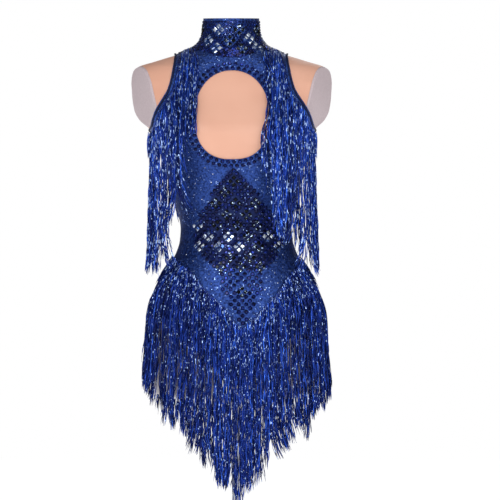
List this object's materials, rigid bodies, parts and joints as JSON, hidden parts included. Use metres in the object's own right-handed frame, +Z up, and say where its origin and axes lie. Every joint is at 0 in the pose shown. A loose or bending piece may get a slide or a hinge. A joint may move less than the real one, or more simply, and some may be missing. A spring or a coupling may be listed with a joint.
{
  "type": "rhinestone tassel bodysuit on a limbless dress form",
  "caption": "Blue stage bodysuit with a stand collar, keyhole front, rhinestone lattice and shoulder and hip fringe, on an armless dress form with a round stand.",
  "frame": {"origin": "centre of the stand base's underside, on the surface it stands on", "axes": "+Z up, the bodysuit's front faces -Y, +X is to the right in a front view"},
  "size_m": [0.3982, 0.3, 1.041],
  "materials": {
    "stretch_cloth": "glitter stretch jersey",
    "binding": "matt",
    "fringe": "metallic yarn",
    "blue_stones": "gloss",
    "clear_stones": "gloss",
    "black_stones": "gloss",
    "form_body": "satin",
    "form_plate": "matt",
    "stand_metal": "brushed"
  },
  "bodies": {
    "root": {"front_panel": "stretch_cloth", "back_left": "stretch_cloth", "back_right": "stretch_cloth", "collar_band": "stretch_cloth", "armhole_binding_left": "binding", "armhole_binding_right": "binding", "shoulder_fringe_front_left": "fringe", "shoulder_fringe_front_right": "fringe", "shoulder_fringe_back_left": "fringe", "shoulder_fringe_back_right": "fringe", "hip_fringe_front_left": "fringe", "hip_fringe_front_right": "fringe", "hip_fringe_back_left": "fringe", "hip_fringe_back_right": "fringe", "form_torso": "form_body", "arm_plate_left": "form_plate", "arm_plate_right": "form_plate", "stand_bridge": "stand_metal", "stand_pole": "stand_metal", "stand_base": "stand_metal"}
  },
  "joints": []
}
